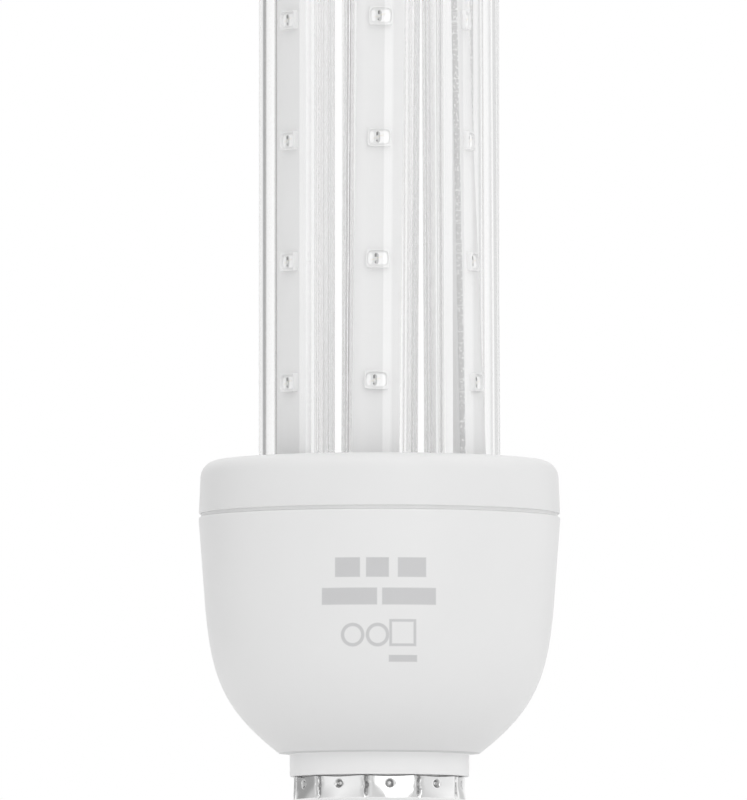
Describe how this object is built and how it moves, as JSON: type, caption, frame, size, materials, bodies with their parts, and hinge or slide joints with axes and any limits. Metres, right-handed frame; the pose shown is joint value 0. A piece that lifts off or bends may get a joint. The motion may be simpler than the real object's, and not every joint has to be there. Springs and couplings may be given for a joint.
{
  "type": "led insect killer lamp",
  "caption": "Insect lamp with clear U tubes holding light strips, on a round two-part white housing with a screw cap.",
  "frame": {"origin": "tip of the cap's centre contact, on the lamp's axis", "axes": "+Z along the lamp's axis from the screw cap to the tubes, -Y towards the front leg"},
  "size_m": [0.0544, 0.0544, 0.175],
  "materials": {
    "nickel": "nickel plate, bright, lightly drawn",
    "cap_insulator": "black glass, glossy",
    "contact_brass": "turned, soldered",
    "white_housing": "moulded, satin",
    "clear_glass": "clear drawn tube",
    "strip_board": "white solder mask on the face, sawn edges",
    "light_package": "clear resin in a white frame",
    "driver_laminate": "green laminate",
    "black_epoxy": "moulded, satin",
    "capacitor_sleeve": "shrunk sleeve on a can",
    "film_epoxy": "dipped and moulded",
    "ferrite": "fired ferrite, wound",
    "resistor_coat": "coated body on tinned leads",
    "wire_red": "insulated wire",
    "wire_black": "insulated wire",
    "tinned_lead": "tinned wire"
  },
  "bodies": {
    "root": {"screw_shell": "nickel", "cap_insulator": "cap_insulator", "centre_contact": "contact_brass", "lower_housing": "white_housing", "upper_housing": "white_housing", "u_tube_front": "clear_glass", "u_tube_back": "clear_glass", "u_tube_left": "clear_glass", "driver_board": "driver_laminate", "bridge_rectifier": "black_epoxy", "smoothing_capacitor": "capacitor_sleeve", "driver_inductor": "ferrite", "driver_chip": "black_epoxy", "film_capacitor": "film_epoxy", "fuse_resistor": "resistor_coat", "live_wire": "wire_red", "neutral_wire": "wire_black", "board_leads": "tinned_lead", "led_board_1": "strip_board", "led_row_1": "light_package", "led_board_2": "strip_board", "led_row_2": "light_package", "led_board_3": "strip_board", "led_row_3": "light_package", "led_board_4": "strip_board", "led_row_4": "light_package", "led_board_5": "strip_board", "led_row_5": "light_package", "led_board_6": "strip_board", "led_row_6": "light_package"}
  },
  "joints": []
}
